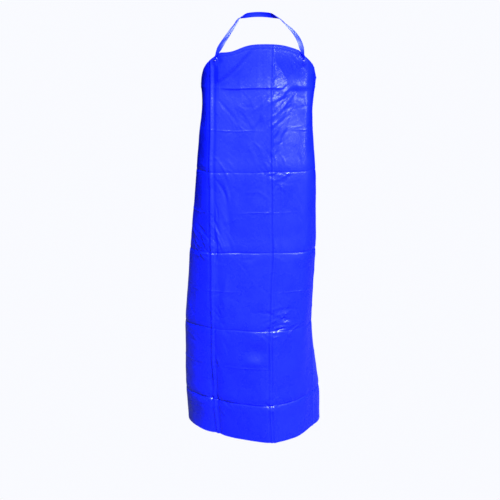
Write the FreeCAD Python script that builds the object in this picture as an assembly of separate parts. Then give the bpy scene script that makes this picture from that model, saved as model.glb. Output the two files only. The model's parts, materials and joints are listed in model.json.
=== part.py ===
# Butcher apron: one wide sheet of coated film that hangs in front of the wearer and wraps round both sides,
# held up by a flat neck strap that is gathered through two eyelets in the bib's corners.
#
# Millimetres. +Z is up, the wearer faces -Y, and "left" is the wearer's left, which is +X.
# The origin is on the wearer's centre line, level with the middle of the bib's top edge.
# The sheet is modelled as it is worn: a gently curved front, and two sides that turn back at the sheet's
# vertical packing creases, follow the waist round to the back, and open out towards the hem.
import FreeCAD, Part
import math
import os

Vector = FreeCAD.Vector

# --- the sheet -------------------------------------------------------------------------------------------
SHEET_LENGTH = 1200.0      # from the bib's top edge to the hem
SHEET_WIDTH = 900.0        # flat width of the skirt, side edge to side edge
FILM = 0.6                 # thickness of the coated film
CREASE_X = 140.0           # the side creases lie this far each side of the centre line
FRONT_Y = -125.0           # the middle of the front
FRONT_RADIUS = 342.0       # curve of the front, seen from above
HINGE_GAP = 0.8            # from a crease line to the film on each side of it

# --- the bib ---------------------------------------------------------------------------------------------
BIB_TOP_HALF = 111.0       # half of the top edge
BIB_RISE = 17.0            # the top edge's middle stands this far above its corners
ARMHOLE_AT_CREASE = 41.0   # depth of the armhole edge below the origin where it crosses the crease
ARMHOLE_MIDDLE = (-22.0, -98.0)   # a point (y, z) of the armhole edge beside the chest
WAIST_CORNER = (112.0, -255.0)    # (y, z) where the armhole edge ends behind the waist

# --- the sides: (z, half width, y of the widest place, radius of the back curve) from the top down --------
RIGHT_SECTIONS = (
    (-20.0, 173.0, -10.0, 105.0),
    (-230.0, 162.0, 0.0, 105.0),
    (-340.0, 162.0, 0.0, 105.0),
    (-800.0, 222.0, 10.0, 150.0),
    (-SHEET_LENGTH, 233.0, 10.0, 165.0),
)
LEFT_SECTIONS = (
    (-20.0, 171.0, -10.0, 105.0),
    (-230.0, 157.0, 0.0, 105.0),
    (-340.0, 157.0, 0.0, 105.0),
    (-800.0, 167.0, 5.0, 120.0),
    (-SHEET_LENGTH, 197.0, 10.0, 150.0),
)
FLAT_END = 50.0            # the last stretch of a side before its back edge is flat
SECTION_STEP = 115.0       # height of one ruled piece of a side

# --- hems and corner patches, welded to the inner face ---------------------------------------------------
HEM = 0.6                  # thickness of a hem or patch
WELD_GAP = 0.02            # between two welded layers
TOP_HEM = 15.0
EDGE_HEM = 8.0
PATCH_SIDE_X = 40.0        # a bib corner patch runs this far in from the crease
PATCH_DEPTH = 34.0         # and this far below the armhole edge's corner at the crease
TIE_PATCH = 48.0           # side of the square patch behind each waist corner
PATCH_CLEAR = 0.5          # between a patch and the hem beside it

# --- eyelets ---------------------------------------------------------------------------------------------
EYELET_BORE_R = 4.0
EYELET_WALL = 0.8
EYELET_FLANGE_R = 7.5
EYELET_CROWN = 1.2         # height of the domed flange above the film
EYELET_SEAT_GAP = 0.1      # flange to film
BARREL_CLEAR = 0.1         # barrel to the holes it passes through
WASHER_T = 0.8
LIP_OUT = 0.7              # the barrel's rolled end overhangs the washer by this
LIP_T = 0.6
BIB_EYELET_DROP = 12.0     # below the middle of the bib corner's sloping edge
TIE_EYELET_INSET = 22.0    # from the side's back edge, and from the waist corner's top edge

# --- neck strap ------------------------------------------------------------------------------------------
STRAP_WIDTH = 15.0
STRAP_T = 0.8
GATHER_WIDTH = 5.0         # the strap is bunched to this where it enters an eyelet
GATHER_T = 3.0
GATHER_RUN = 30.0          # length over which it opens out to full width
FLEX_OUT = 4.2             # the strap flexes this far in front of the film's middle, at the eyelet
FLEX_CLEAR = 3.0           # from the flex point to the start of the loop
STUB_R = 2.4               # the bunched strap inside an eyelet
KNOT_R = 6.5
KNOT_BACK = 9.5            # knot centre behind the film
TAIL_LENGTH = 26.0
TAIL_WIDTH = 9.0
TAIL_OVERLAP = 5.0         # of the tail into the knot
STRAP_STATION = 12.0       # length of strap between two cross sections
SHOULDER_GAP = 3.0         # the strap flexes on top of the shoulder, across this gap between its solids
SHOULDER_AT = 5            # the route's point, counted from the eyelet as 0, where it does so

# The half loop on the wearer's left, from the eyelet up over the shoulder to the nape: points that the
# strap's middle line is drawn to, each with the direction that the strap's outer face looks there.
STRAP_ROUTE = (
    ((118.0, -110.0, -14.0), (0.36, -0.90, 0.20)),
    ((106.0, -100.0, 15.0), (0.36, -0.78, 0.50)),
    ((87.0, -66.0, 42.0), (0.38, -0.50, 0.78)),
    ((70.0, -24.0, 63.0), (0.55, -0.12, 0.83)),
    ((60.0, 20.0, 79.0), (0.42, 0.15, 0.89)),
    ((38.0, 58.0, 89.0), (0.55, 0.78, 0.30)),
    ((0.0, 74.0, 93.0), (0.0, 0.97, 0.24)),
)



def filled_in(sections):
    """The sections with others between them, close enough for each ruled piece to be nearly untwisted."""
    rows = []
    for upper, lower in zip(sections, sections[1:]):
        count = max(1, round((upper[0] - lower[0]) / SECTION_STEP))
        for i in range(count):
            rows.append(tuple(a + (b - a) * i / count for a, b in zip(upper, lower)))
    return rows + [sections[-1]]


SIDES = {"right": (-1.0, filled_in(RIGHT_SECTIONS)), "left": (1.0, filled_in(LEFT_SECTIONS))}
FRONT_CENTRE_Y = FRONT_Y + FRONT_RADIUS
CREASE_Y = FRONT_CENTRE_Y - math.sqrt(FRONT_RADIUS**2 - CREASE_X**2)
CREASE_ANGLE = math.asin(CREASE_X / FRONT_RADIUS)
CORNER_SLOPE = (ARMHOLE_AT_CREASE - BIB_RISE) / (CREASE_X - BIB_TOP_HALF)
BIB_EYELET_X = (BIB_TOP_HALF + CREASE_X) / 2
BIB_EYELET_Z = -(BIB_RISE + ARMHOLE_AT_CREASE) / 2 - BIB_EYELET_DROP
TIE_CORE = 2 * TIE_EYELET_INSET - EDGE_HEM
SIDE_WIDTH = SHEET_WIDTH / 2 - FRONT_RADIUS * CREASE_ANGLE
HALF_FILM = FILM / 2
HEM_OUTER = -HALF_FILM - WELD_GAP
HEM_INNER = HEM_OUTER - HEM
REACH = 1000.0             # larger than the apron each way, for cutting tools


# --- outlines and sections -------------------------------------------------------------------------------
def arc(first, middle, last):
    return Part.Arc(first, middle, last).toShape()


def line(first, last):
    return Part.LineSegment(first, last).toShape()


def closed_face(edges):
    return Part.Face(Part.Wire(edges))


def polygon_face(points):
    return Part.Face(Part.makePolygon(list(points) + [points[0]]))


def on_front(angle, offset, z):
    """A point of the front, angle from its middle, offset outwards from the film's middle surface."""
    radius = FRONT_RADIUS + offset
    return Vector(radius * math.sin(angle), FRONT_CENTRE_Y - radius * math.cos(angle), z)


def front_band(inner, outer):
    """The front's full-height curved plate between two offsets from the film's middle surface."""
    last = CREASE_ANGLE - HINGE_GAP / FRONT_RADIUS
    z = -SHEET_LENGTH
    corners = [on_front(sign * last, offset, z) for offset in (inner, outer) for sign in (-1, 1)]
    profile = closed_face([
        arc(corners[0], on_front(0, inner, z), corners[1]),
        line(corners[1], corners[3]),
        arc(corners[3], on_front(0, outer, z), corners[2]),
        line(corners[2], corners[0]),
    ])
    return profile.extrude(Vector(0, 0, SHEET_LENGTH))


def side_curve(section, offset, sign):
    """Edges of one side's section, from the crease round to the back edge, at an offset outwards."""
    z, half_width, widest_y, back_radius = section
    out, back = half_width - CREASE_X, widest_y - CREASE_Y
    side_radius = (out**2 + back**2) / (2 * out)
    turn = math.asin(back / side_radius)
    back_turn = (SIDE_WIDTH - side_radius * turn - FLAT_END) / back_radius

    def bent(radius, angle):
        x = half_width - radius + (radius + offset) * math.cos(angle)
        return Vector(sign * x, widest_y + (radius + offset) * math.sin(angle), z)

    start = HINGE_GAP / side_radius - turn
    flat_from = bent(back_radius, back_turn)
    along = Vector(-sign * math.sin(back_turn), math.cos(back_turn), 0)
    return [
        arc(bent(side_radius, start), bent(side_radius, start / 2), bent(side_radius, 0)),
        arc(bent(back_radius, 0), bent(back_radius, back_turn / 2), flat_from),
        line(flat_from, flat_from + along * FLAT_END),
    ]


def side_profile(section, inner, outer, sign):
    """Closed section of a side between two offsets from the film's middle surface."""
    near, far = side_curve(section, inner, sign), side_curve(section, outer, sign)
    caps = [line(a.Vertexes[i].Point, b.Vertexes[i].Point)
            for a, b, i in ((near[0], far[0], 0), (near[-1], far[-1], -1))]
    return Part.Wire(near + [caps[1]] + far[::-1] + [caps[0]])


def side_band(side, inner, outer):
    """A side's full-height curved plate, ruled between its sections."""
    sign, sections = SIDES[side]
    return Part.makeLoft([side_profile(s, inner, outer, sign) for s in sections], True, True)


def bib_outline(inset):
    """Face in the XZ plane that the front is cut to, with its top edge and corners moved in by inset."""
    def at(x, z):
        return Vector(x, -REACH, z)

    low = -ARMHOLE_AT_CREASE - CORNER_SLOPE * EDGE_HEM
    wide = CREASE_X + EDGE_HEM
    left, right = at(BIB_TOP_HALF, -BIB_RISE - inset), at(-BIB_TOP_HALF, -BIB_RISE - inset)
    return closed_face([
        arc(right, at(0, -inset), left),
        line(left, at(wide, low - inset)),
        line(at(wide, low - inset), at(wide, -REACH - SHEET_LENGTH)),
        line(at(wide, -REACH - SHEET_LENGTH), at(-wide, -REACH - SHEET_LENGTH)),
        line(at(-wide, -REACH - SHEET_LENGTH), at(-wide, low - inset)),
        line(at(-wide, low - inset), right),
    ])


def below_bib_edge(inset):
    return bib_outline(inset).extrude(Vector(0, 2 * REACH, 0))


def below_armhole(inset):
    """Prism along X of all that lies below a side's armhole edge, moved down by inset."""
    def at(y, z):
        return Vector(-REACH, y, z - inset)

    low = -REACH - SHEET_LENGTH
    first, last = at(CREASE_Y, -ARMHOLE_AT_CREASE), at(*WAIST_CORNER)
    front, back = at(-REACH, -ARMHOLE_AT_CREASE), at(REACH, WAIST_CORNER[1])
    return closed_face([
        line(front, first),
        arc(first, at(*ARMHOLE_MIDDLE), last),
        line(last, back),
        line(back, Vector(-REACH, REACH, low)),
        line(Vector(-REACH, REACH, low), Vector(-REACH, -REACH, low)),
        line(Vector(-REACH, -REACH, low), front),
    ]).extrude(Vector(2 * REACH, 0, 0))


def block(low, high):
    """Box between two corners."""
    size = [b - a for a, b in zip(low, high)]
    return Part.makeBox(*size, Vector(*low))


# --- where things sit on the sheet -----------------------------------------------------------------------
def bib_eyelet_seat(side):
    """Centre on the film's middle surface and outward direction of a bib eyelet."""
    angle = SIDES[side][0] * math.asin(BIB_EYELET_X / FRONT_RADIUS)
    centre = on_front(angle, 0, BIB_EYELET_Z)
    return centre, Vector(math.sin(angle), -math.cos(angle), 0)


def waist_section(side):
    """A side's section at its waist corner, which holds from above the corner to below its patch."""
    return next(section for section in SIDES[side][1] if section[0] < WAIST_CORNER[1])


def tie_eyelet_seat(side):
    """Centre on the film's middle surface and outward direction of a waist eyelet."""
    flat = side_curve(waist_section(side), 0, SIDES[side][0])[-1]
    first, last = flat.Vertexes[0].Point, flat.Vertexes[-1].Point
    along = (last - first).normalize()
    centre = last - along * TIE_EYELET_INSET
    centre.z = WAIST_CORNER[1] - TIE_EYELET_INSET
    outward = along.cross(Vector(0, 0, 1))
    return centre, outward * (1 if outward.y > 0 else -1)


def rod(centre, direction, radius, back, front):
    """Cylinder about a direction through centre, from back to front along it."""
    return Part.makeCylinder(radius, front - back, centre + direction * back, direction)


# --- eyelets ---------------------------------------------------------------------------------------------
def turned(points, crown, centre, direction):
    """Solid of revolution about direction: a closed outline of (radius, height) points, whose stretch
    between the last point and the first is an arc through crown."""
    def at(point):
        return Vector(point[0], 0, point[1])

    edges = [line(at(a), at(b)) for a, b in zip(points, points[1:])]
    edges.append(arc(at(points[-1]), at(crown), at(points[0])))
    solid = closed_face(edges).revolve(Vector(), Vector(0, 0, 1), 360)
    solid.Placement = FreeCAD.Placement(centre, FreeCAD.Rotation(Vector(0, 0, 1), direction))
    return solid


def washer_heights():
    """Heights of a washer's two faces, from the film's middle surface."""
    top = HEM_INNER - EYELET_SEAT_GAP
    return top - WASHER_T, top


def eyelet(centre, direction):
    """Domed flange and barrel in one piece, its end rolled out over the washer."""
    barrel_r = EYELET_BORE_R + EYELET_WALL
    seat = HALF_FILM + EYELET_SEAT_GAP
    washer_low = washer_heights()[0] - WELD_GAP
    lip_low = washer_low - LIP_T
    outline = [
        (EYELET_FLANGE_R, seat),
        (barrel_r, seat),
        (barrel_r, washer_low),
        (barrel_r + LIP_OUT, washer_low),
        (barrel_r + LIP_OUT, lip_low),
        (EYELET_BORE_R, lip_low),
        (EYELET_BORE_R, seat + EYELET_CROWN / 2),
    ]
    crown = ((EYELET_BORE_R + EYELET_FLANGE_R) / 2, seat + EYELET_CROWN)
    return turned(outline, crown, centre, direction)


def eyelet_washer(centre, direction):
    low, top = washer_heights()
    ring = rod(centre, direction, EYELET_FLANGE_R, low, top)
    return ring.cut(rod(centre, direction, EYELET_BORE_R + EYELET_WALL + WELD_GAP, low - 1, top + 1))


def barrel_hole(seat):
    centre, direction = seat
    return rod(centre, direction, EYELET_BORE_R + EYELET_WALL + BARREL_CLEAR, -TIE_PATCH / 2, TIE_PATCH / 2)


# --- the sheet, its hems and patches ---------------------------------------------------------------------
def front_sheet():
    holes = [barrel_hole(bib_eyelet_seat(side)) for side in SIDES]
    return front_band(-HALF_FILM, HALF_FILM).common(below_bib_edge(0)).cut(holes)


def tie_corner(side, reach):
    """Block round a waist corner, as far as reach in from the back edge and down from the top edge."""
    centre, direction = tie_eyelet_seat(side)
    inward = direction.cross(Vector(0, 0, 1))
    inward = inward * (1 if inward.x * SIDES[side][0] > 0 else -1)
    edge = centre - inward * TIE_EYELET_INSET
    edge.z = WAIST_CORNER[1] - reach
    outer, inner, deep = edge - inward * TIE_PATCH, edge + inward * reach, direction * (TIE_PATCH / 2)
    corners = [outer - deep, inner - deep, inner + deep, outer + deep]
    return polygon_face(corners).extrude(Vector(0, 0, reach + TIE_PATCH))


def side_sheet(side):
    """The film of one side, up to the solid doubled corner that carries the tie eyelet."""
    return side_band(side, -HALF_FILM, HALF_FILM).common(below_armhole(0)).cut(tie_corner(side, TIE_CORE))


def top_hem():
    rim = below_bib_edge(0).cut(below_bib_edge(TOP_HEM))
    half = CREASE_X - PATCH_SIDE_X - PATCH_CLEAR
    rim = rim.common(block((-half, -REACH, -TOP_HEM - BIB_RISE), (half, REACH, REACH)))
    return front_band(HEM_INNER, HEM_OUTER).common(rim)


def bib_patch(side):
    """Reinforcement behind a bib corner, round the eyelet."""
    x = sorted(SIDES[side][0] * at for at in (CREASE_X - PATCH_SIDE_X, CREASE_X + EDGE_HEM))
    region = block((x[0], -REACH, -ARMHOLE_AT_CREASE - PATCH_DEPTH), (x[1], REACH, REACH))
    patch = front_band(HEM_INNER, HEM_OUTER).common(below_bib_edge(0)).common(region)
    return patch.cut(barrel_hole(bib_eyelet_seat(side)))


def armhole_hem(side):
    rim = below_armhole(0).cut(below_armhole(EDGE_HEM))
    rim = rim.cut(tie_corner(side, TIE_PATCH + PATCH_CLEAR))
    return side_band(side, HEM_INNER, HEM_OUTER).common(rim)


def side_hem_profile(section, sign):
    """Closed section of the hem strip inside a side's back edge."""
    corners = []
    for offset in (HEM_INNER, HEM_OUTER):
        flat = side_curve(section, offset, sign)[-1]
        first, last = flat.Vertexes[0].Point, flat.Vertexes[-1].Point
        corners += [last, last + (first - last).normalize() * EDGE_HEM]
    return Part.makePolygon([corners[i] for i in (0, 1, 3, 2, 0)])


def side_hem(side):
    """The strip along a side's back edge, from below its tie patch, where the waist section still holds."""
    sign, sections = SIDES[side]
    top = WAIST_CORNER[1] - TIE_PATCH - PATCH_CLEAR
    rows = [(top,) + waist_section(side)[1:]] + [section for section in sections if section[0] < top]
    return Part.makeLoft([side_hem_profile(section, sign) for section in rows], True, True)


def tie_patch(side):
    """The doubled waist corner: the film's own corner and the square welded behind it, as one piece."""
    square = side_band(side, HEM_INNER, HEM_OUTER).common(tie_corner(side, TIE_PATCH))
    core = side_band(side, HEM_OUTER, HALF_FILM).common(tie_corner(side, TIE_CORE - WELD_GAP))
    patch = square.fuse(core).common(below_armhole(0)).removeSplitter()
    return patch.cut(barrel_hole(tie_eyelet_seat(side)))


# --- neck strap ------------------------------------------------------------------------------------------
def flex_point(side):
    """Where the strap leaves its eyelet and flexes."""
    centre, direction = bib_eyelet_seat(side)
    return centre + direction * FLEX_OUT


def strap_knot(side):
    """The strap's end: bunched through the eyelet, knotted behind it, with a short tail."""
    centre, direction = bib_eyelet_seat(side)
    knot_centre = centre - direction * KNOT_BACK
    stub = rod(centre, direction, STUB_R, -KNOT_BACK, FLEX_OUT)
    ball = Part.makeSphere(STUB_R, flex_point(side))
    knot = Part.makeSphere(KNOT_R, knot_centre)
    top = knot_centre.z - KNOT_R + TAIL_OVERLAP
    tail = Part.makeBox(TAIL_WIDTH, STRAP_T, TAIL_LENGTH + TAIL_OVERLAP)
    tail.translate(Vector(-TAIL_WIDTH / 2, -STRAP_T / 2, 0))
    tail.rotate(Vector(), Vector(0, 0, 1), math.degrees(math.atan2(direction.x, -direction.y)))
    tail.translate(Vector(knot_centre.x, knot_centre.y, top - TAIL_LENGTH - TAIL_OVERLAP))
    return stub.fuse([ball, knot, tail]).removeSplitter()


def strap_half():
    """The strap's middle line and its facing direction on the wearer's left, as two curves."""
    start, direction = flex_point("left") + Vector(0, 0, FLEX_CLEAR), bib_eyelet_seat("left")[1]
    beyond = [Vector(-a, b, c) for a, b, c in STRAP_ROUTE[-2]]
    rows = [(start, direction)] + [(Vector(*p), Vector(*n)) for p, n in STRAP_ROUTE] + [beyond]
    middle, facing = Part.BSplineCurve(), Part.BSplineCurve()
    places = list(range(len(rows)))
    middle.interpolate([p for p, _ in rows], Parameters=places)
    facing.interpolate([n for _, n in rows], Parameters=places)
    return middle, facing


def strap_section(at):
    """The four corners of the strap's section at a place along its middle line."""
    middle, facing = strap_half()
    opened = min(1.0, middle.length(0, at) / GATHER_RUN) if at > 0 else 0.0
    opened = opened * opened * (3 - 2 * opened)
    width = GATHER_WIDTH + (STRAP_WIDTH - GATHER_WIDTH) * opened
    thick = GATHER_T + (STRAP_T - GATHER_T) * opened
    along = middle.tangent(at)[0]
    across = along.cross(facing.value(at)).normalize() * (width / 2)
    out = across.cross(along).normalize() * (thick / 2)
    point = middle.value(at)
    return [point - across - out, point + across - out, point + across + out, point - across + out]


def strap_stations(first, last):
    """Places along half of the strap, evenly spaced, from one place to another."""
    middle = strap_half()[0]
    start, run = (middle.length(0, first) if first > 0 else 0.0), middle.length(first, last)
    steps = math.ceil(run / STRAP_STATION)
    return [middle.parameterAtDistance(start + run * i / steps, 0) for i in range(steps)] + [last]


def mirror_section(section):
    """The same section on the other side of the wearer's centre line."""
    return [Vector(-section[i].x, section[i].y, section[i].z) for i in (1, 0, 3, 2)]


def ruled_strap(sections):
    return Part.makeLoft([Part.makePolygon(section + section[:1]) for section in sections], True, True)


def shoulder_end(sign):
    """The place where the strap's solid ends, on one side or the other of the shoulder gap."""
    middle = strap_half()[0]
    return middle.parameterAtDistance(middle.length(0, SHOULDER_AT) + sign * SHOULDER_GAP / 2, 0)


def strap_run(side):
    """The strap from its eyelet up to the top of the shoulder."""
    sections = [strap_section(at) for at in strap_stations(0, shoulder_end(-1))]
    return ruled_strap(sections if side == "left" else [mirror_section(s) for s in sections])


def neck_strap():
    """The strap from shoulder to shoulder, round the nape."""
    half = [strap_section(at) for at in strap_stations(shoulder_end(1), len(STRAP_ROUTE))]
    return ruled_strap(half + [mirror_section(s) for s in half[-2::-1]])


# --- the whole apron -------------------------------------------------------------------------------------
def parts():
    """Every node's shape by its name."""
    made = {"front_sheet": front_sheet(), "top_hem": top_hem(), "neck_strap": neck_strap()}
    for side in SIDES:
        bib, tie = bib_eyelet_seat(side), tie_eyelet_seat(side)
        made[f"{side}_side_sheet"] = side_sheet(side)
        made[f"{side}_armhole_hem"] = armhole_hem(side)
        made[f"{side}_side_hem"] = side_hem(side)
        made[f"{side}_bib_patch"] = bib_patch(side)
        made[f"{side}_tie_patch"] = tie_patch(side)
        made[f"{side}_bib_eyelet"] = eyelet(*bib)
        made[f"{side}_bib_eyelet_washer"] = eyelet_washer(*bib)
        made[f"{side}_tie_eyelet"] = eyelet(*tie)
        made[f"{side}_tie_eyelet_washer"] = eyelet_washer(*tie)
        made[f"{side}_strap_run"] = strap_run(side)
        made[f"{side}_strap_knot"] = strap_knot(side)
    return made


def main():
    os.makedirs("parts", exist_ok=True)
    for name, shape in parts().items():
        solids = shape.Solids
        if not solids or not all(s.isValid() and s.Volume > 0 for s in solids):
            raise ValueError(f"{name} is not made of valid solids")
        kept = solids[0] if len(solids) == 1 else Part.makeCompound(solids)
        kept.exportStep(f"parts/{name}.step")
        print(name, len(solids), "solid", round(kept.Volume / 1000, 2), "cm3")
    print("strap from eyelet to eyelet", round(strap_half()[0].length(0, len(STRAP_ROUTE)) * 2), "mm")


main()
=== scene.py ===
# Butcher apron in coated film, as it hangs on its wearer. Lengths are in millimetres until they enter Blender.
import json
import math

import bmesh
import bpy
import numpy as np
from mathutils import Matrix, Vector


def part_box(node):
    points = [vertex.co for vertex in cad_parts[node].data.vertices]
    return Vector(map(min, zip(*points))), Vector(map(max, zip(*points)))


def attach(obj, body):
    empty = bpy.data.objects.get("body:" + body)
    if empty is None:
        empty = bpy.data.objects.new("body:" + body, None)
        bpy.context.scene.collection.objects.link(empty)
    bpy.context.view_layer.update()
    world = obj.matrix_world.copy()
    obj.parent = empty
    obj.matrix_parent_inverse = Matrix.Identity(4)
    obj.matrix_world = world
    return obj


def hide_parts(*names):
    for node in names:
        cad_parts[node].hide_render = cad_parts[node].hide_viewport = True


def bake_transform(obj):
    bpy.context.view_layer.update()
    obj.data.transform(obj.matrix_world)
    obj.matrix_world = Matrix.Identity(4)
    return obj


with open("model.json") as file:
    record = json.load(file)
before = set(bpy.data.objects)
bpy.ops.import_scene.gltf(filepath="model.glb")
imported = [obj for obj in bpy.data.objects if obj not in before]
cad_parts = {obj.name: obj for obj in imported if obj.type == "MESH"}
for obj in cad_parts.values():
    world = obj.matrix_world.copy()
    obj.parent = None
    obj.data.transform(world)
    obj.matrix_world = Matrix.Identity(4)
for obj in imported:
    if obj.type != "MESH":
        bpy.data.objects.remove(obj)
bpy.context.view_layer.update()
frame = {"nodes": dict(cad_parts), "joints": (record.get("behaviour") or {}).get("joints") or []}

MM = 0.001
joints = {joint["name"]: joint for joint in frame["joints"]}

# --- sizes -----------------------------------------------------------------------------------------------
# The sheet is described by two flat coordinates: u, across it from its centre line towards the wearer's left,
# and s, down it from the level of the bib's top edge.
SHEET_LENGTH = -float(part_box("front_sheet")[0][2]) / MM
HALF_WIDTH = 450.0
FILM = 0.6
FRONT_RADIUS = 342.0
FRONT_Y = -125.0
FRONT_CENTRE_Y = FRONT_Y + FRONT_RADIUS
CREASE_X, CREASE_Y = joints["left_side_fold"]["pos_m"][0] / MM, joints["left_side_fold"]["pos_m"][1] / MM
CREASE_U = FRONT_RADIUS * math.asin(CREASE_X / FRONT_RADIUS)
SIDE_WIDTH = HALF_WIDTH - CREASE_U
FLAT_END = 50.0  # width of the straight part beside a back edge

# Each side's sections: (depth s, half width, y of the widest place, radius of the back curve).
SIDE_SECTIONS = {
    -1: ((20, 173, -10, 105), (230, 162, 0, 105), (340, 162, 0, 105), (800, 222, 10, 150), (1200, 233, 10, 165)),
    1: ((20, 171, -10, 105), (230, 157, 0, 105), (340, 157, 0, 105), (800, 167, 5, 120), (1200, 197, 10, 150)),
}

# The bib's outline.
BIB_TOP_HALF = 111.0
BIB_RISE = 17.0
ARMHOLE_AT_CREASE = 41.0
WAIST_TOP = 255.0
ARMHOLE_POINTS = ((CREASE_Y, -ARMHOLE_AT_CREASE), (-22.0, -98.0), (112.0, -WAIST_TOP))
WELD_LINE = 12.0  # depth of the line that shows on the bib where its top hem is welded

# The eyelets: in the bib's corners and at the waist.
EYELET_X = 125.5
EYELET_S = 41.0
TIE_EYELET_INSET = 22.0
TIE_TOP = WAIST_TOP + TIE_EYELET_INSET
EYELET_U = FRONT_RADIUS * math.asin(EYELET_X / FRONT_RADIUS)
EYELET_PLACES = [(sign * EYELET_U, EYELET_S) for sign in (-1, 1)]
EYELET_PLACES += [(sign * (HALF_WIDTH - TIE_EYELET_INSET), TIE_TOP) for sign in (-1, 1)]
HOLE_R = 5.9

# Packing creases: the sheet was folded into panels of this size.
PANEL_U = 180.4
PANEL_S = 120.0
RIGHT_CREASE, CENTRE_CREASE = 0, 1  # the creases down the front, counted from the wearer's right


def crease_place(count):
    """Flat coordinate u of the packing crease with this count."""
    return -CREASE_U + PANEL_U * count


CENTRE_CREASE_U = crease_place(CENTRE_CREASE)

# How the front hangs, by depth s: the centre crease's x and y, and the sheet's heading (degrees turned back
# from straight across) at the places HEADING_U. A place that is named twice is a crease that turns it there.
HEADING_U = (-330, -200, -CREASE_U, -CREASE_U, CENTRE_CREASE_U, CENTRE_CREASE_U, 130, 152, 230, 330)
HANG = (
    (0, 36, -123, (-118, -60, -42, -20, 5, 10, 10, 46, 84, 112)),
    (90, 37, -123, (-120, -70, -44, -22, 5, 9, 9, 58, 93, 118)),
    (170, 37, -127, (-124, -78, -54, -17, 3, 8, 9, 70, 99, 122)),
    (260, 37, -127, (-122, -70, -50, -11, 4, 7, 10, 66, 98, 124)),
    (360, 38, -127, (-117, -64, -47, -8, 4, 6, 12, 56, 93, 125)),
    (600, 40, -127, (-102, -51, -32, -7, 3, 7, 20, 54, 87, 120)),
    (840, 35, -132, (-94, -41, -31, -16, 2, 12, 28, 57, 85, 114)),
    (1080, 34, -139, (-92, -36, -20, -28, -8, 26, 36, 43, 61, 88)),
    (1200, 38, -141, (-94, -40, -10, -32, -12, 18, 40, 47, 59, 84)),
)


# --- the sheet's shape -----------------------------------------------------------------------------------
def smoothstep(x, low, high):
    """0 up to low, 1 from high on, and an even S between them."""
    t = np.clip((x - low) / (high - low), 0, 1)
    return t * t * (3 - 2 * t)


def between(x, low, full, fading, high):
    """1 from full to fading, and 0 below low and above high."""
    return smoothstep(x, low, full) * (1 - smoothstep(x, fading, high))


def blurred(grid, places, width, axis):
    """Gaussian smoothing of grid along an axis of evenly spaced places, odd about its ends."""
    step = places[1] - places[0]
    reach = int(math.ceil(3 * width / step))
    weights = np.exp(-0.5 * (np.arange(-reach, reach + 1) * step / width) ** 2)
    weights /= weights.sum()
    grid = np.moveaxis(grid, axis, 0)
    head = 2 * grid[:1] - grid[reach:0:-1]
    tail = 2 * grid[-1:] - grid[-2:-reach - 2:-1]
    padded = np.concatenate([head, grid, tail])
    out = sum(w * padded[i:i + len(grid)] for i, w in enumerate(weights))
    return np.moveaxis(out, 0, axis)


def side_place(u, s):
    """Where the CAD's sides have a point of the sheet beyond a crease."""
    side = -1 if u < 0 else 1
    rows = np.array(SIDE_SECTIONS[side], float)
    half_width, widest_y, back_radius = (np.interp(s, rows[:, 0], rows[:, k]) for k in (1, 2, 3))
    out, back = half_width - CREASE_X, widest_y - CREASE_Y
    side_radius = (out**2 + back**2) / (2 * out)
    turn = np.arcsin(back / side_radius)
    along = abs(u) - CREASE_U
    on_side = np.minimum(along / side_radius, turn) - turn
    side_x = half_width - side_radius + side_radius * np.cos(on_side)
    side_y = widest_y + side_radius * np.sin(on_side)
    back_turn = (SIDE_WIDTH - side_radius * turn - FLAT_END) / back_radius
    on_back = np.clip((along - side_radius * turn) / back_radius, 0, back_turn)
    flat = np.maximum(0, along - (SIDE_WIDTH - FLAT_END))
    x = side_x + back_radius * (np.cos(on_back) - 1) - flat * np.sin(back_turn)
    y = side_y + back_radius * np.sin(on_back) + flat * np.cos(back_turn)
    return side * x, y


def cad_place(u, s):
    """x and y of the CAD sheet's middle surface at u, for an array of depths s."""
    if abs(u) <= CREASE_U:
        angle = u / FRONT_RADIUS
        return np.full_like(s, FRONT_RADIUS * math.sin(angle)), np.full_like(
            s, FRONT_CENTRE_Y - FRONT_RADIUS * math.cos(angle))
    return side_place(u, s)


def hang_grid(us, ss):
    """x and y of the sheet as it hangs, from the headings in HANG, on the grid of us by ss."""
    depths = np.array([row[0] for row in HANG], float)
    nudge = np.array([0, 0, -0.01, 0.01, -0.01, 0.01, 0, 0, 0, 0])
    heading = np.array([np.interp(us, np.array(HEADING_U) + nudge, row[3]) for row in HANG])
    heading = np.array([np.interp(ss, depths, heading[:, i]) for i in range(len(us))])
    heading = np.radians(heading)
    steps = np.diff(us)[:, None]
    start = np.argmin(abs(us - CENTRE_CREASE_U))
    place = []
    for part, row in ((np.cos, 1), (np.sin, 2)):
        mean = (part(heading[1:]) + part(heading[:-1])) / 2
        run = np.concatenate([np.zeros((1, len(ss))), np.cumsum(mean * steps, axis=0)])
        anchor = np.interp(ss, depths, [key[row] for key in HANG])
        place.append(run - run[start] + anchor)
    return place


def coarse_surface():
    """The sheet without its creases, on an even grid of flat coordinates: places us, ss and points."""
    us = np.arange(-HALF_WIDTH - 14, HALF_WIDTH + 15, 4.0)
    ss = np.arange(-20, SHEET_LENGTH + 41, 10.0)
    cad = np.array([cad_place(u, ss) for u in us])
    hang_x, hang_y = hang_grid(us, ss)
    across = 1 - smoothstep(abs(us), 260, 365)
    share = across[:, None] * smoothstep(ss, 60, 170)[None, :]
    bib = (1 - smoothstep(abs(us), 100, 124))[:, None] * np.ones((1, len(ss)))
    share = np.maximum(share, bib)
    x = cad[:, 0] * (1 - share) + hang_x * share
    y = cad[:, 1] * (1 - share) + hang_y * share
    z = -np.repeat(ss[None, :], len(us), axis=0)
    points = np.stack([x, y, z], axis=-1)
    soft = smoothstep(ss, 60, 170)[None, :, None]
    points = blurred(points, ss, 24.0, 1) * soft + points * (1 - soft)
    return us, ss, blurred(points, us, 5.0, 0) * (1 - soft) + blurred(points, us, 9.0, 0) * soft


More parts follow.
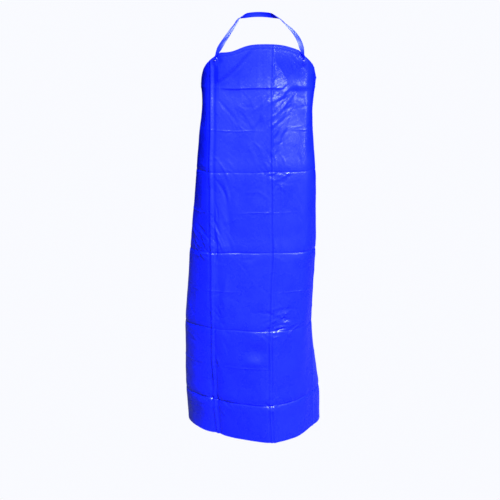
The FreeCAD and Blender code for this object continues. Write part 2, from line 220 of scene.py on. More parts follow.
def sampled(us, ss, points, u, s):
    """The coarse surface at flat coordinates u, s, by cubic interpolation."""
    def weights(place, places):
        step = places[1] - places[0]
        at = np.clip((place - places[0]) / step, 1, len(places) - 2.001)
        index = np.floor(at).astype(int)
        t = at - index
        return index, np.stack([
            -0.5 * t + t**2 - 0.5 * t**3,
            1 - 2.5 * t**2 + 1.5 * t**3,
            0.5 * t + 2 * t**2 - 1.5 * t**3,
            -0.5 * t**2 + 0.5 * t**3,
        ], axis=-1)

    iu, wu = weights(u, us)
    js, ws = weights(s, ss)
    total = np.zeros(u.shape + (3,))
    for a in range(4):
        for b in range(4):
            row = np.clip(iu + a - 1, 0, len(us) - 1)
            column = np.clip(js + b - 1, 0, len(ss) - 1)
            total += points[row, column] * (wu[..., a] * ws[..., b])[..., None]
    return total


def cusp(distance, sharp, reach):
    """A ridge of unit slope at distance 0, rounded over sharp and dying out over reach."""
    return -(np.sqrt(distance**2 + sharp**2) - sharp) * np.exp(-(distance / reach) ** 2)


def bump(distance, reach):
    """A bell of unit height."""
    return np.exp(-(distance / reach) ** 2)


def ridge(distance, width):
    """A narrow pressed line of unit height, a little flatter than a bell."""
    return 1 / (1 + (distance / width) ** 4)


def creases_down(u, s):
    """The packing creases that run down the sheet."""
    out = np.zeros_like(u)
    low = smoothstep(s, 560, 640)
    for k in range(-2, 4):
        line = crease_place(k) + 1.6 * np.sin(s / 97 + 2.1 * k) + 0.8 * np.sin(s / 31 + k)
        away = u - line
        if k == RIGHT_CREASE:
            out += (1.1 + 0.6 * low) * bump(away + 1.0, 4.6) - 1.5 * bump(away - 9 - 5 * low, 6.0 + 5 * low)
            out -= 0.9 * bump(away + 9, 4.0)
            out += 0.7 * ridge(away - 5, 1.6) * between(s, 430, 520, 640, 760)
        elif k == CENTRE_CREASE:
            beside = away - 24 - 3 * np.sin(s / 60)
            strong = 0.6 + 0.4 * np.sin(s / 53) ** 2
            out += 1.3 * strong * ridge(away - 1.5, 2.4) - 0.5 * bump(away + 5.0, 3.2)
            out += (1.0 * ridge(beside, 2.2) - 0.7 * bump(beside - 5, 3.0)) * between(s, 370, 430, 560, 600)
            out += 1.7 * bump(away - 11, 6.0) * low
            out -= 0.9 * ridge(away - 6, 1.8) * smoothstep(s, 860, 900)
        else:
            out += 0.9 * ridge(away, 2.0) + 0.04 * cusp(away, 1.0, 20.0)
    # Short pressed lines below the bib's top edge.
    for line, height in ((-4, 0.5), (12, 0.6), (22, 0.5), (-120, 0.5), (165, 0.6), (176, 0.5)):
        wander = 2.0 * np.sin(s / 45 + line)
        out += height * ridge(u - line - wander, 1.8) * (1 - smoothstep(s, 90, 170))
    return out


# The strong creases across the sheet: each crease's count of panels down, and whether it stands out or in.
CROSS_CREASES = {1: 0.3, 3: -0.5, 5: -0.75, 7: -0.7, 9: -1.15}


def creases_across(u, s):
    """The packing creases that run across the sheet."""
    out = np.zeros_like(u)
    for k in range(1, 10):
        line = PANEL_S * k + 1.2 * np.sin(u / 63 + k) + 0.7 * np.sin(u / 19 + 3 * k)
        away = s - line
        if k in CROSS_CREASES:
            kind = CROSS_CREASES[k]
            patchy = 0.75 + 0.25 * np.sin(u / 37 + 2 * k)
            out += kind * patchy * (1.2 * ridge(away, 2.2) + 0.09 * cusp(away, 1.5, 26.0))
        else:
            fade = 0.5 + 0.5 * np.sin(u / 41 + 5 * k)
            out += 0.5 * fade * ridge(away, 1.8)
    return out


def tilted(u, s, line, edge, tilt):
    """A flat facet that falls away by tilt from line as far as edge, and levels out past it."""
    inside = np.clip(u - line, 0, np.maximum(edge - line, 0))
    return -tilt * inside


def folds(u, s):
    """The larger folds of the bib and skirt."""
    # Two facets on the wearer's left of the centre crease: one widens down to the first crease across, and one
    # narrows below it.
    line = CENTRE_CREASE_U
    upper = line + 44 * smoothstep(s, 22, 112)
    lower = line + 76 * (1 - smoothstep(s, 135, 345)) ** 0.8
    high, low = 1 - smoothstep(s, 112, 132), smoothstep(s, 112, 132)
    facets = tilted(u, s, line, upper, 0.24) * high + tilted(u, s, line, lower, 0.23) * low
    back = 1 - smoothstep(u, line + 80, line + 150)
    out = facets * back
    # The bib's right corner stands out past a line from its top edge down to the first crease across.
    before = -((u + 30) * 0.668 + (s - 33) * 0.745)
    corner = smoothstep(before, 0, 13) * np.exp(-(np.clip(before - 26, 0, None) / 30) ** 2)
    on_corner = (1 - smoothstep(s, 92, 118)) * smoothstep(u, -136, -112) * (1 - smoothstep(u, -45, -5))
    out += (4.6 * corner + 0.8 * bump(before + 5, 6)) * on_corner
    # Under the first crease across, the film steps in beneath a lip.
    lip = between(u, -118, -90, 48, 72)
    under = s - PANEL_S - 2.0 * bump(u - 52, 22)
    out += lip * (-1.9 * smoothstep(under, -0.5, 3.5) * np.exp(-(np.clip(under, 0, None) / 30) ** 2)
                  + 0.25 * bump(under + 3, 6.0))
    # Beside the right crease, low down, the film turns sharply.
    out += 3.4 * (smoothstep(u + CREASE_U, 5, 16) - 1) * bump(u + CREASE_U - 2, 26) * smoothstep(s, 740, 840)
    # Hollows and swellings of the skirt.
    out += -4.0 * bump(u + 5, 30) * bump(s - 905, 20) + 3.6 * bump(u + 8, 24) * bump(s - 942, 14)
    out += -3.0 * bump(u + 95, 12) * between(s, 380, 470, 530, 600)
    out += -2.5 * bump(u - 175, 22) * bump(s - 215, 70)
    out += -3.2 * bump(u + 150 - 0.08 * (s - 1040), 12) * bump(s - 1040, 60)
    out += 1.5 * bump(u + 104, 9) * between(s, 640, 700, 760, 850)
    return out


def wrinkle_list():
    """Short wrinkles: u, s, angle, length, width and height of each."""
    random = np.random.default_rng(7)
    made = []

    def scatter(count, u, s, spread_u, spread_s, angle, turn, length, height):
        for _ in range(count):
            made.append((
                u + random.normal() * spread_u, s + random.normal() * spread_s,
                math.radians(angle + random.normal() * turn), length * random.uniform(0.6, 1.4),
                random.uniform(2.6, 4.0), height * random.uniform(0.5, 1.2) * random.choice((-1, 1)),
            ))

    line = CENTRE_CREASE_U
    scatter(60, line + 34, 165, 22, 40, -50, 14, 16, 0.5)
    scatter(40, line + 18, 275, 12, 36, -58, 14, 14, 0.45)
    scatter(16, line - 20, 330, 26, 28, 75, 20, 18, 0.8)
    scatter(20, line + 26, 385, 20, 16, -30, 30, 16, 0.8)
    scatter(26, line + 30, 805, 22, 22, -12, 14, 22, 1.1)
    scatter(16, line + 12, 835, 10, 10, -40, 25, 12, 1.3)
    scatter(18, -40, 190, 26, 30, 60, 12, 30, 0.4)
    scatter(14, 5, 205, 12, 30, 110, 14, 26, 0.7)
    scatter(22, -190, 575, 22, 20, 45, 25, 24, 1.2)
    scatter(18, -140, 1085, 24, 14, 20, 40, 14, 1.0)
    scatter(16, line + 5, 1085, 14, 12, 0, 50, 14, 1.0)
    scatter(16, -118, 700, 14, 110, 80, 16, 36, 0.9)
    scatter(12, -110, 480, 16, 60, 70, 16, 34, 0.9)
    scatter(14, 120, 66, 14, 22, 65, 20, 16, 0.45)
    scatter(10, -112, 66, 14, 22, 115, 20, 16, 0.35)
    scatter(260, 0, 560, 230, 330, 0, 90, 20, 0.45)
    return made


WRINKLES = wrinkle_list()


def wrinkles(u, s):
    """The height of all the short wrinkles together."""
    out = np.zeros_like(u)
    for at_u, at_s, angle, length, width, height in WRINKLES:
        near = (abs(u - at_u) < 2.5 * length) & (abs(s - at_s) < 2.5 * length)
        du, ds = u[near] - at_u, s[near] - at_s
        along, across = du * math.cos(angle) + ds * math.sin(angle), ds * math.cos(angle) - du * math.sin(angle)
        bent = across - along**2 / (9 * length)
        out[near] += height * np.exp(-(along / length) ** 2 - (bent / width) ** 2)
    return out


def waviness(u, s):
    """A slow unevenness of the whole film."""
    out = np.zeros_like(u)
    random = np.random.default_rng(11)
    for _ in range(26):
        wave = random.uniform(45, 150)
        turn, phase = random.uniform(0, 2 * math.pi), random.uniform(0, 2 * math.pi)
        along = u * math.cos(turn) * 1.5 + s * math.sin(turn)
        out += wave / 150 * 0.18 * np.sin(along * 2 * math.pi / wave + phase)
    return out


EDGE_U = np.arange(-HALF_WIDTH, HALF_WIDTH + 1, 1.0)


def relief(u, s):
    """How far the film stands out from the coarse surface, in millimetres: creases, folds and wrinkles."""
    below = s - np.interp(u, EDGE_U, EDGE_TOP)
    calm = np.ones_like(u)
    for eyelet_u, eyelet_s in EYELET_PLACES:
        calm *= 1 - np.exp(-((np.hypot(u - eyelet_u, s - eyelet_s) / 16.0) ** 4))
    out = 1.5 * (creases_down(u, s) + creases_across(u, s) + wrinkles(u, s)) + folds(u, s) + waviness(u, s)
    out *= calm * smoothstep(HALF_WIDTH - abs(u), -1, 12)
    on_bib = 1 - smoothstep(abs(u), 118, 128)
    weld = 0.35 * (1 - smoothstep(below, WELD_LINE - 0.8, WELD_LINE + 0.8)) - 0.45 * bump(below - WELD_LINE, 1.6)
    bead = 0.9 * np.sqrt(np.clip(1 - (below / 2.6 - 0.6) ** 2, 0, 1)) * (below < 4.2)
    side_bead = 0.7 * bump(HALF_WIDTH - abs(u) - 2.0, 2.0)
    return out + weld * on_bib + bead * (1 - 0.6 * on_bib) + side_bead


def lift(u, s):
    """How far the film is pulled up or has sunk in its own plane: along the bib's top and the hem."""
    top = (3.5 * bump(u - 70, 45) - 12 * bump(u + 82, 38)) * np.exp(-np.clip(s, 0, None) / 90)
    hem = smoothstep(s, 880, SHEET_LENGTH) * (9 * smoothstep(-u, 90, 260) + 10 * smoothstep(u, 110, 220))
    return top + hem


def surface(u, s, offset=0.0):
    """Points of the film's middle surface at flat coordinates u, s, moved outwards by offset."""
    u, s = np.asarray(u, float), np.asarray(s, float)
    step = 1.0
    at = sampled(*COARSE, u, s)
    across = sampled(*COARSE, u + step, s) - sampled(*COARSE, u - step, s)
    down = sampled(*COARSE, u, s + step) - sampled(*COARSE, u, s - step)
    outward = np.cross(down, across)
    outward /= np.linalg.norm(outward, axis=-1, keepdims=True)
    moved = at + outward * (relief(u, s) + offset)[..., None]
    moved[..., 2] += lift(u, s)
    return moved


# --- the sheet's outline ---------------------------------------------------------------------------------
def circle_through(a, b, c):
    """Centre and radius of the circle through three points of a plane."""
    (ax, ay), (bx, by), (cx, cy) = a, b, c
    d = 2 * (ax * (by - cy) + bx * (cy - ay) + cx * (ay - by))
    aa, bb, cc = ax**2 + ay**2, bx**2 + by**2, cx**2 + cy**2
    x = (aa * (by - cy) + bb * (cy - ay) + cc * (ay - by)) / d
    y = (aa * (cx - bx) + bb * (ax - cx) + cc * (bx - ax)) / d
    return x, y, math.hypot(ax - x, ay - y)


def armhole_depth(y):
    """Depth s of the armhole edge where the sheet is at y."""
    centre_y, centre_z, radius = circle_through(*ARMHOLE_POINTS)
    y = min(y, ARMHOLE_POINTS[2][0])
    return -(centre_z + math.sqrt(max(0.0, radius**2 - (y - centre_y) ** 2)))


def top_depth(u):
    """Depth s of the sheet's upper edge at u: the bib's top, its sloping corner, then the armhole."""
    x = FRONT_RADIUS * math.sin(min(abs(u), CREASE_U) / FRONT_RADIUS)
    if x <= BIB_TOP_HALF:
        radius = (BIB_TOP_HALF**2 + BIB_RISE**2) / (2 * BIB_RISE)
        return radius - math.sqrt(radius**2 - x**2)
    if abs(u) < CREASE_U:
        share = (x - BIB_TOP_HALF) / (CREASE_X - BIB_TOP_HALF)
        return BIB_RISE + (ARMHOLE_AT_CREASE - BIB_RISE) * share
    depth = ARMHOLE_AT_CREASE
    for _ in range(25):
        y = float(side_place(u, np.array([depth]))[1][0])
        depth = 0.5 * depth + 0.5 * armhole_depth(y)
    return min(depth, WAIST_TOP)


EDGE_TOP = np.array([top_depth(u) for u in EDGE_U])
COARSE = coarse_surface()


def spaced(low, high, step, lines):
    """Places from low to high, step apart, but fine apart within reach of each line (place, fine, reach)."""
    places, at = [low], low
    while at < high:
        at += min(fine + max(0.0, step - fine) * min(1.0, max(0.0, (abs(at - line) - reach) / 14))
                  for line, fine, reach in lines)
        places.append(min(at, high))
    if places[-1] - places[-2] < 0.6:
        places.pop(-2)
    return np.array(places)


# --- meshes ----------------------------------------------------------------------------------------------
SHARP_OVER = math.radians(50)


def add_mesh(name, points, faces, material):
    """A smooth-shaded object from points in millimetres, with its faces turned outwards."""
    mesh = bpy.data.meshes.new(name)
    mesh.from_pydata([tuple(p * MM) for p in points], [], faces)
    work = bmesh.new()
    work.from_mesh(mesh)
    bmesh.ops.recalc_face_normals(work, faces=work.faces)
    work.to_mesh(mesh)
    work.free()
    mesh.polygons.foreach_set("use_smooth", [True] * len(mesh.polygons))
    mesh.set_sharp_from_angle(angle=SHARP_OVER)
    mesh.materials.append(material)
    obj = bpy.data.objects.new(name, mesh)
    bpy.context.collection.objects.link(obj)
    return obj


def holed(u, s):
    """The grid u, s with its points drawn out to round holes at the eyelets, and the cells that are left."""
    u, s = u.copy(), s.copy()
    kept = np.ones((u.shape[0] - 1, u.shape[1] - 1), bool)
    for at_u, at_s in EYELET_PLACES:
        away = np.hypot(u - at_u, s - at_s)
        inside = away < HOLE_R
        cut = inside[:-1, :-1] & inside[1:, :-1] & inside[:-1, 1:] & inside[1:, 1:]
        kept &= ~cut
        touched = np.zeros_like(inside)
        for i in (0, 1):
            for j in (0, 1):
                touched[i:i + cut.shape[0], j:j + cut.shape[1]] |= cut
        scale = np.where(touched & (away > 1e-6), HOLE_R / np.maximum(away, 1e-6), 1.0)
        u, s = at_u + (u - at_u) * scale, at_s + (s - at_s) * scale
    return u, s, kept


def slab(name, u, s, outer, inner, material):
    """A closed sheet over the grid u, s, between two offsets from the film's middle surface."""
    u, s, kept = holed(u, s)
    rows, columns = u.shape
    half = rows * columns
    points = np.concatenate([surface(u, s, outer).reshape(-1, 3), surface(u, s, inner).reshape(-1, 3)])
    faces, open_edges = [], {}
    for i, j in np.argwhere(kept).tolist():
        corners = [i * columns + j, i * columns + j + 1, (i + 1) * columns + j + 1, (i + 1) * columns + j]
        faces.append(corners)
        faces.append([half + corner for corner in reversed(corners)])
        for edge in zip(corners, corners[1:] + corners[:1]):
            if edge[::-1] in open_edges:
                del open_edges[edge[::-1]]
            else:
                open_edges[edge] = True
    faces += [[b, a, half + a, half + b] for a, b in open_edges]
    used = np.zeros(len(points), bool)
    used[[index for face in faces for index in face]] = True
    number = np.cumsum(used) - 1
    return add_mesh(name, points[used], [[int(number[i]) for i in face] for face in faces], material)


SHEET_STEP = 3.6
CREASE_STEP = 1.4


def sheet_grid(u_low, u_high):
    """Flat coordinates of one part of the sheet, from its upper edge to the hem."""
    lines_u = [(crease_place(k), CREASE_STEP, 6) for k in range(-1, 4)]
    lines_u += [(place[0], CREASE_STEP, 7) for place in EYELET_PLACES]
    lines_u += [(CENTRE_CREASE_U + 34, 0.68 * SHEET_STEP, 44)]
    us = spaced(u_low, u_high, SHEET_STEP, lines_u)
    lines_s = [(PANEL_S * k, CREASE_STEP, 5) for k in range(0, 10)]
    lines_s += [(EYELET_S, CREASE_STEP, 7), (TIE_TOP, CREASE_STEP, 7), (170, 0.75 * SHEET_STEP, 160)]
    high_rows = spaced(0.0, WAIST_TOP + 30, SHEET_STEP, lines_s)
    low_rows = spaced(WAIST_TOP + 30, SHEET_LENGTH, SHEET_STEP, lines_s)
    tops = np.array([top_depth(u) for u in us])
    share = high_rows[:-1] / high_rows[-1]
    high = tops[:, None] + (high_rows[-1] - tops[:, None]) * share[None, :]
    s = np.concatenate([high, np.repeat(low_rows[None, :], len(us), axis=0)], axis=1)
    return np.repeat(us[:, None], s.shape[1], axis=1), s


# --- welded strips and patches behind the film -----------------------------------------------------------
WELD_OUTER = -FILM / 2 - 0.05
WELD_INNER = WELD_OUTER - FILM
HEM_DEPTH = 15.0
EDGE_HEM = 8.0
BIB_PATCH_END = 75.0
TIE_PATCH_U = 402.0
TIE_PATCH_END = 303.0
WELD_INSET = 0.2


def strip(name, u_low, u_high, top, bottom, step, material):
    """A welded layer behind the film, from the depth top(u) to bottom(u)."""
    us = np.linspace(u_low, u_high, 2 + int((u_high - u_low) / step))
    tops, bottoms = np.array([top(u) for u in us]), np.array([bottom(u) for u in us])
    rows = 2 + int(np.max(bottoms - tops) / step)
    share = np.linspace(0, 1, rows)
    s = tops[:, None] + (bottoms - tops)[:, None] * share[None, :]
    return slab(name, np.repeat(us[:, None], rows, axis=1), s, WELD_OUTER, WELD_INNER, material)


def mirrored(side, low, high):
    """A span of u on the wearer's left, or the one like it on the right."""
    return (low, high) if side == "left" else (-high, -low)


def make_welds(material):
    """The top hem, the armhole and back-edge hems, and the corner patches, by their CAD names."""
    hem = strip("top_hem_strip", -100, 100, top_depth, lambda u: top_depth(u) + HEM_DEPTH, 2.5, material)
    made = {"top_hem": hem}
    edge_u, edge_s = HALF_WIDTH - WELD_INSET, SHEET_LENGTH - WELD_INSET
    for side in ("left", "right"):
        spans = {
            "bib_patch": (101, CREASE_U - 1.5, top_depth, lambda u: BIB_PATCH_END, 1.6),
            "armhole_hem": (CREASE_U + 1.5, TIE_PATCH_U - 1, top_depth, lambda u: top_depth(u) + EDGE_HEM, 2.5),
            "side_hem": (HALF_WIDTH - EDGE_HEM, edge_u, lambda u: TIE_PATCH_END + 0.5, lambda u: edge_s, 2.5),
            "tie_patch": (TIE_PATCH_U, edge_u, top_depth, lambda u: TIE_PATCH_END, 1.6),
        }
        for kind, (low, high, top, bottom, step) in spans.items():
            span = mirrored(side, low, high)
            made[f"{side}_{kind}"] = strip(f"{side}_{kind}_layer", *span, top, bottom, step, material)
    return made


# --- the neck strap --------------------------------------------------------------------------------------
STRAP_WIDTH = 15.0
BUNCHED_WIDTH = 5.2
STRAP_T = 0.8
FLEX_OUT = 4.2  # how far in front of an eyelet the strap starts, and how far above its centre
FLEX_CLEAR = 3.0


def eyelet_seat(sign):
    """Centre and outward direction of a bib eyelet, on the film's middle surface."""
    angle = sign * math.asin(EYELET_X / FRONT_RADIUS)
    centre = np.array([FRONT_RADIUS * math.sin(angle), FRONT_CENTRE_Y - FRONT_RADIUS * math.cos(angle), -EYELET_S])
    return centre, np.array([math.sin(angle), -math.cos(angle), 0.0])


# Half of the strap's route, from the eyelet up over the shoulder to the nape, with its outer face's direction.
STRAP_ROUTE = (
    ((118.0, -110.0, -14.0), (0.36, -0.90, 0.20)),
    ((106.0, -100.0, 15.0), (0.36, -0.78, 0.50)),
    ((87.0, -66.0, 42.0), (0.38, -0.50, 0.78)),
    ((70.0, -24.0, 63.0), (0.55, -0.12, 0.83)),
    ((60.0, 20.0, 79.0), (0.42, 0.15, 0.89)),
    ((38.0, 58.0, 89.0), (0.55, 0.78, 0.30)),
    ((0.0, 74.0, 93.0), (0.0, 0.97, 0.24)),
)
# How far each of those points lies further out on the wearer's left, and further in on the right.
STRAP_BOW = ((2.0, -2.0), (5.0, -9.0), (6.0, -7.0), (2.0, -3.0), (0.0, 0.0), (0.0, 0.0))


def strap_points():
    """The strap's route from the wearer's right eyelet to the left one, and its facing directions."""
    halves = []
    for sign, which in ((-1, 1), (1, 0)):
        centre, direction = eyelet_seat(sign)
        start = centre + direction * FLEX_OUT + np.array([0, 0, FLEX_CLEAR])
        half = [(start, direction)]
        for (place, facing), bow in zip(STRAP_ROUTE, STRAP_BOW):
            half.append((np.array([sign * (place[0] + bow[which]), place[1], place[2]]),
                         np.array([sign * facing[0], facing[1], facing[2]])))
        halves.append(half)
    nape = tuple(np.array(v) for v in STRAP_ROUTE[-1])
    return halves[0] + [nape] + halves[1][::-1]


def spline_path(name, points, resolution=12):
    """Points along the NURBS spline that has these control points."""
    curve = bpy.data.curves.new(name, "CURVE")
    curve.dimensions = "3D"
    spline = curve.splines.new("NURBS")
    spline.points.add(len(points) - 1)
    for point, place in zip(spline.points, points):
        point.co = (*(np.asarray(place) * MM), 1)
    spline.order_u = 3
    spline.use_endpoint_u = True
    spline.resolution_u = resolution
    obj = bpy.data.objects.new(name, curve)
    bpy.context.collection.objects.link(obj)
    bpy.context.view_layer.update()
    mesh = bpy.data.meshes.new_from_object(obj)
    path = np.array([vertex.co for vertex in mesh.vertices]) / MM
    bpy.data.objects.remove(obj)
    bpy.data.meshes.remove(mesh)
    return path


def directions_along(path):
    """The unit direction of travel at each point of a path."""
    along = np.gradient(path, axis=0)
    return along / np.linalg.norm(along, axis=1, keepdims=True)


def swept(name, path, facing, section, material):
    """A closed solid along path: section(distance along, whole length) gives its points (across, out)."""
    along = directions_along(path)
    lengths = np.concatenate([[0], np.cumsum(np.linalg.norm(np.diff(path, axis=0), axis=1))])
    points, rows = [], []
    for i, (place, way, face) in enumerate(zip(path, along, facing)):
        across = np.cross(way, face)
        across /= np.linalg.norm(across)
        out = np.cross(across, way)
        ring = [place + across * a + out * b for a, b in section(lengths[i], lengths[-1])]
        rows.append(len(ring))
        points += ring
    count = rows[0]
    faces = []
    for i in range(len(path) - 1):
        for j in range(count):
            k = (j + 1) % count
            faces.append([i * count + j, i * count + k, (i + 1) * count + k, (i + 1) * count + j])
    faces.append(list(range(count - 1, -1, -1)))
    faces.append([(len(path) - 1) * count + j for j in range(count)])
    return add_mesh(name, points, faces, material)


def tape_section(width, thick, curl, pleat, across_points=13):
    """Outline of a flat tape's section: curled across its width, or pleated where it is bunched."""
    side = np.linspace(-1, 1, across_points)
    middle = curl * (1 - side**2) + pleat * np.sin(side * 2.5 * math.pi)
    half = thick / 2 * np.sqrt(np.clip(1 - 0.85 * side**8, 0.1, 1))
    upper = [(width / 2 * a, m + h) for a, m, h in zip(side, middle, half)]
    lower = [(width / 2 * a, m - h) for a, m, h in zip(side, middle, half)][::-1]
    return upper + lower


def make_strap(material):
    """The strap as one ribbon along its route's spline, bunched at both eyelets."""
    rows = strap_points()
    path = spline_path("strap_route", [place for place, _ in rows])
    share = np.linspace(0, len(rows) - 1, len(path))
    facing = np.stack([np.interp(share, range(len(rows)), [f[k] for _, f in rows]) for k in range(3)], axis=1)

    def section(at, length):
        end = min(at, length - at)
        opened = float(smoothstep(end, 0, 34))
        width = BUNCHED_WIDTH + (STRAP_WIDTH - BUNCHED_WIDTH) * opened
        curl = 0.9 * opened + 0.5 * math.sin(at / 23) * opened
        return tape_section(width, STRAP_T, curl, 1.5 * (1 - opened), 21)

    ribbon = swept("neck_strap_ribbon", path, facing, section, material)
    return ribbon


def make_knot(side, material):
    """The strap's end behind the bib: bunched through the eyelet, tied in an overhand knot, with its tail."""
    sign = 1 if side == "left" else -1
    centre, direction = eyelet_seat(sign)
    across = np.cross(direction, [0, 0, 1.0])
    up = np.array([0, 0, 1.0])
    heart = centre - direction * 9.5
    front = centre + direction * FLEX_OUT

    def frame_point(a, b, c):
        return heart + across * a + up * b + direction * c

    loop = [front + up * 3.5, front + up * 0.5, centre + direction * 1.5, centre - direction * 3.0]
    turns = np.linspace(0, 2 * math.pi, 13)[:-1]
    for t in turns:
        loop.append(frame_point(1.9 * (math.sin(t) + 1.1 * math.sin(2 * t)),
                                1.9 * (math.cos(t) - 1.1 * math.cos(2 * t)), 1.7 * -math.sin(3 * t)))
    loop.append(frame_point(0.5, -5.0, -0.5))
    path = spline_path("knot_route", loop, 8)
    along = directions_along(path)
    facing = np.cross(along, np.cross(np.repeat(direction[None, :], len(path), 0), along) + 1e-3)

    def section(at, length):
        packed = 1 - float(smoothstep(at, 9, 14))
        wide, deep = 1.75 + 0.8 * packed, 1.45 + 0.9 * packed
        return [(wide * math.cos(a) * (1 + 0.16 * math.cos(5 * a)), deep * math.sin(a) * (1 + 0.16 * math.cos(5 * a)))
                for a in np.linspace(0, 2 * math.pi, 21)[:-1]]

    knot = swept(f"{side}_strap_knot_tied", path, facing, section, material)
    tail_points = [frame_point(0.5, -3.5, -0.5), frame_point(0.8, -9, -1.0), frame_point(0, -17, 0.5),
                   frame_point(-1.2, -25, -1.2), frame_point(-0.6, -32.0, -0.6)]
    tail_path = spline_path("tail_route", tail_points, 8)
    tail_facing = np.repeat(direction[None, :], len(tail_path), 0) + 0.25 * across

    def tail_section(at, length):
        opened = float(smoothstep(at, 0, 14))
        return tape_section(4.0 + 6.5 * opened, 0.6, 0.8, 1.1 * (1 - opened), 15)

    tail = swept(f"{side}_strap_tail", tail_path, tail_facing, tail_section, material)
    for piece in (knot, tail):
        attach(piece, "front")
    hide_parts(f"{side}_strap_knot")


# --- materials -------------------------------------------------------------------------------------------
def film_material(name, colour, roughness, grain=1.0, shine=0.4):
    """Coated film: a faint unevenness of colour and gloss, and three lays of fine crinkle in relief."""
    material = bpy.data.materials.new(name)
    material.use_nodes = True
    nodes, links = material.node_tree.nodes, material.node_tree.links
    shader = nodes["Principled BSDF"]
    shader.inputs["Specular IOR Level"].default_value = shine
    where = nodes.new("ShaderNodeNewGeometry")
    broad = nodes.new("ShaderNodeTexNoise")
    broad.inputs["Scale"].default_value = 14.0
    broad.inputs["Detail"].default_value = 4.0
    links.new(where.outputs["Position"], broad.inputs["Vector"])
    tint = nodes.new("ShaderNodeValToRGB")
    tint.color_ramp.elements[0].position, tint.color_ramp.elements[1].position = 0.3, 0.7
    tint.color_ramp.elements[0].color = (*[c * 0.86 for c in colour], 1)
    tint.color_ramp.elements[1].color = (*colour, 1)
    links.new(broad.outputs["Fac"], tint.inputs["Fac"])
    links.new(tint.outputs["Color"], shader.inputs["Base Color"])
    rough = nodes.new("ShaderNodeMapRange")
    rough.inputs["From Min"].default_value, rough.inputs["From Max"].default_value = 0.3, 0.7
    rough.inputs["To Min"].default_value, rough.inputs["To Max"].default_value = roughness - 0.05, roughness + 0.06
    links.new(broad.outputs["Fac"], rough.inputs["Value"])
    links.new(rough.outputs["Result"], shader.inputs["Roughness"])
    normal = None
    for turn, scale, stretch, height, strength in (
            (-40, 190, 3.5, 0.0018, 0.36), (58, 150, 3.0, 0.0018, 0.30), (8, 520, 1.5, 0.0008, 0.45)):
        lay, crinkle, step = (nodes.new(kind) for kind in (
            "ShaderNodeMapping", "ShaderNodeTexNoise", "ShaderNodeBump"))
        lay.vector_type = "TEXTURE"
        lay.inputs["Rotation"].default_value = (0, math.radians(turn), 0)
        lay.inputs["Scale"].default_value = (stretch, stretch, 1)
        crinkle.inputs["Scale"].default_value, crinkle.inputs["Detail"].default_value = scale, 3.0
        crinkle.inputs["Distortion"].default_value = 0.4
        step.inputs["Distance"].default_value, step.inputs["Strength"].default_value = height, strength * grain
        links.new(where.outputs["Position"], lay.inputs["Vector"])
        links.new(lay.outputs["Vector"], crinkle.inputs["Vector"])
        links.new(crinkle.outputs["Fac"], step.inputs["Height"])
        if normal is not None:
            links.new(normal, step.inputs["Normal"])
        normal = step.outputs["Normal"]
    links.new(normal, shader.inputs["Normal"])
    return material


film = film_material("film", (0.0045, 0.0105, 0.95), 0.28)
welded = film_material("welded_film", (0.0045, 0.010, 0.90), 0.33)
strap_film = film_material("strap_film", (0.0045, 0.0105, 0.92), 0.42, grain=0.15, shine=0.2)
moulded = film_material("moulded", (0.005, 0.012, 0.70), 0.38, grain=0.2)


# --- pieces ----------------------------------------------------------------------------------------------
SIDE_FOLDS = {"left": 1, "right": -1}


def across_fold(piece):
    """Bakes a piece's placement into its mesh."""
    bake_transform(piece)


def make_sheet():
    """The film, in two pieces that meet at the centre crease."""
    spans = {"right": (-HALF_WIDTH, CENTRE_CREASE_U), "left": (CENTRE_CREASE_U, HALF_WIDTH)}
    nodes = {"right": ("front_sheet", "right_side_sheet"), "left": ("left_side_sheet",)}
    for side, span in spans.items():
        part = slab(f"sheet_{side}", *sheet_grid(*span), FILM / 2, -FILM / 2, film)
        across_fold(part)
        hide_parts(*nodes[side])


make_sheet()
for node, weld in make_welds(welded).items():
    side = node.split("_")[0]
    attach(weld, f"{side}_side" if side in SIDE_FOLDS and "bib" not in node else "front")
    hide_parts(node)
strap = make_strap(strap_film)
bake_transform(strap)
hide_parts("neck_strap", "left_strap_run", "right_strap_run")
for side in SIDE_FOLDS:
    make_knot(side, strap_film)
for obj in frame["nodes"].values():
    if not obj.hide_render:
        obj.data.materials.clear()
        obj.data.materials.append(moulded)


# --- stage, light and camera -----------------------------------------------------------------------------
FLOOR = -SHEET_LENGTH * MM - 0.24
FLOOR_REACH = 6.0
COOL = (0.80, 0.94, 1.0)
BACKDROP = (0.95, 0.96, 1.0, 1)


def area_light(name, place, target, size, power):
    light = bpy.data.lights.new(name, "AREA")
    light.shape = "RECTANGLE"
    light.size, light.size_y = size
    light.energy = power
    light.color = COOL
    obj = bpy.data.objects.new(name, light)
    bpy.context.collection.objects.link(obj)
    obj.location = place
    obj.rotation_euler = (Vector(target) - Vector(place)).to_track_quat("-Z", "Y").to_euler()


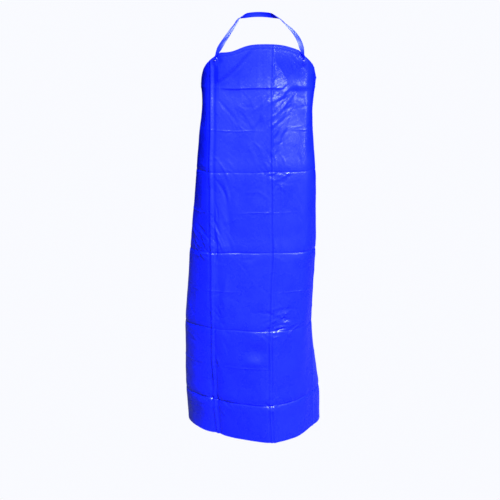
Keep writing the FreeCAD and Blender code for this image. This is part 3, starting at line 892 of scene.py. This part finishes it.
def make_world():
    """A pale studio: what the camera sees is white, and what lights the film is dimmer, and darker to one side."""
    world = bpy.data.worlds.new("studio")
    world.use_nodes = True
    nodes, links = world.node_tree.nodes, world.node_tree.links
    seen, lit = nodes["Background"], nodes.new("ShaderNodeBackground")
    seen.inputs["Color"].default_value = BACKDROP
    lit.inputs["Color"].default_value = (*COOL, 1)
    where, towards, ramp = (nodes.new(kind) for kind in (
        "ShaderNodeTexCoord", "ShaderNodeVectorMath", "ShaderNodeMapRange"))
    towards.operation = "DOT_PRODUCT"
    towards.inputs[1].default_value = (0.22, -0.90, 0.38)
    links.new(where.outputs["Generated"], towards.inputs[0])
    links.new(towards.outputs["Value"], ramp.inputs["Value"])
    ramp.inputs["From Min"].default_value, ramp.inputs["From Max"].default_value = 0.1, 1.0
    ramp.inputs["To Min"].default_value, ramp.inputs["To Max"].default_value = 0.0, 0.62
    links.new(ramp.outputs["Result"], lit.inputs["Strength"])
    mix, path = nodes.new("ShaderNodeMixShader"), nodes.new("ShaderNodeLightPath")
    links.new(path.outputs["Is Camera Ray"], mix.inputs["Fac"])
    links.new(lit.outputs["Background"], mix.inputs[1])
    links.new(seen.outputs["Background"], mix.inputs[2])
    links.new(mix.outputs["Shader"], nodes["World Output"].inputs["Surface"])
    bpy.context.scene.world = world


def floor_material():
    """A floor that the camera sees as pale, and that throws only a little light back up."""
    material = bpy.data.materials.new("pale_floor")
    material.use_nodes = True
    nodes, links = material.node_tree.nodes, material.node_tree.links
    shader = nodes["Principled BSDF"]
    shader.inputs["Base Color"].default_value = (0.04, 0.04, 0.04, 1)
    shader.inputs["Roughness"].default_value = 0.9
    glow, mix, path = (nodes.new(kind) for kind in (
        "ShaderNodeEmission", "ShaderNodeMixShader", "ShaderNodeLightPath"))
    glow.inputs["Color"].default_value = BACKDROP
    links.new(path.outputs["Is Camera Ray"], mix.inputs["Fac"])
    links.new(shader.outputs["BSDF"], mix.inputs[1])
    links.new(glow.outputs["Emission"], mix.inputs[2])
    links.new(mix.outputs["Shader"], nodes["Material Output"].inputs["Surface"])
    return material


def make_stage():
    mesh = bpy.data.meshes.new("floor")
    around = ((-1, -1), (1, -1), (1, 1), (-1, 1))
    mesh.from_pydata([(x * FLOOR_REACH, y * FLOOR_REACH, FLOOR) for x, y in around], [], [(0, 1, 2, 3)])
    mesh.materials.append(floor_material())
    floor = bpy.data.objects.new("floor", mesh)
    bpy.context.collection.objects.link(floor)
    make_world()
    area_light("window", (2.25, -2.35, 0.85), (0.0, 0.0, -0.2), (0.7, 0.7), 45.0)
    area_light("main", (0.85, -2.2, 2.6), (0.0, 0.0, -0.6), (2.8, 2.0), 960.0)
    area_light("behind", (0.0, 2.2, 3.2), (0.0, 0.0, -0.5), (2.5, 2.0), 260.0)


def make_camera():
    camera = bpy.data.cameras.new("camera")
    camera.sensor_width = 36.0
    camera.lens = 59.3
    obj = bpy.data.objects.new("camera", camera)
    bpy.context.collection.objects.link(obj)
    obj.location = (-0.027, -2.5, -0.059)
    obj.rotation_euler = (math.radians(90 - 12.6), 0, 0)
    bpy.context.scene.camera = obj


make_stage()
make_camera()
bpy.context.scene.view_settings.view_transform = "Standard"
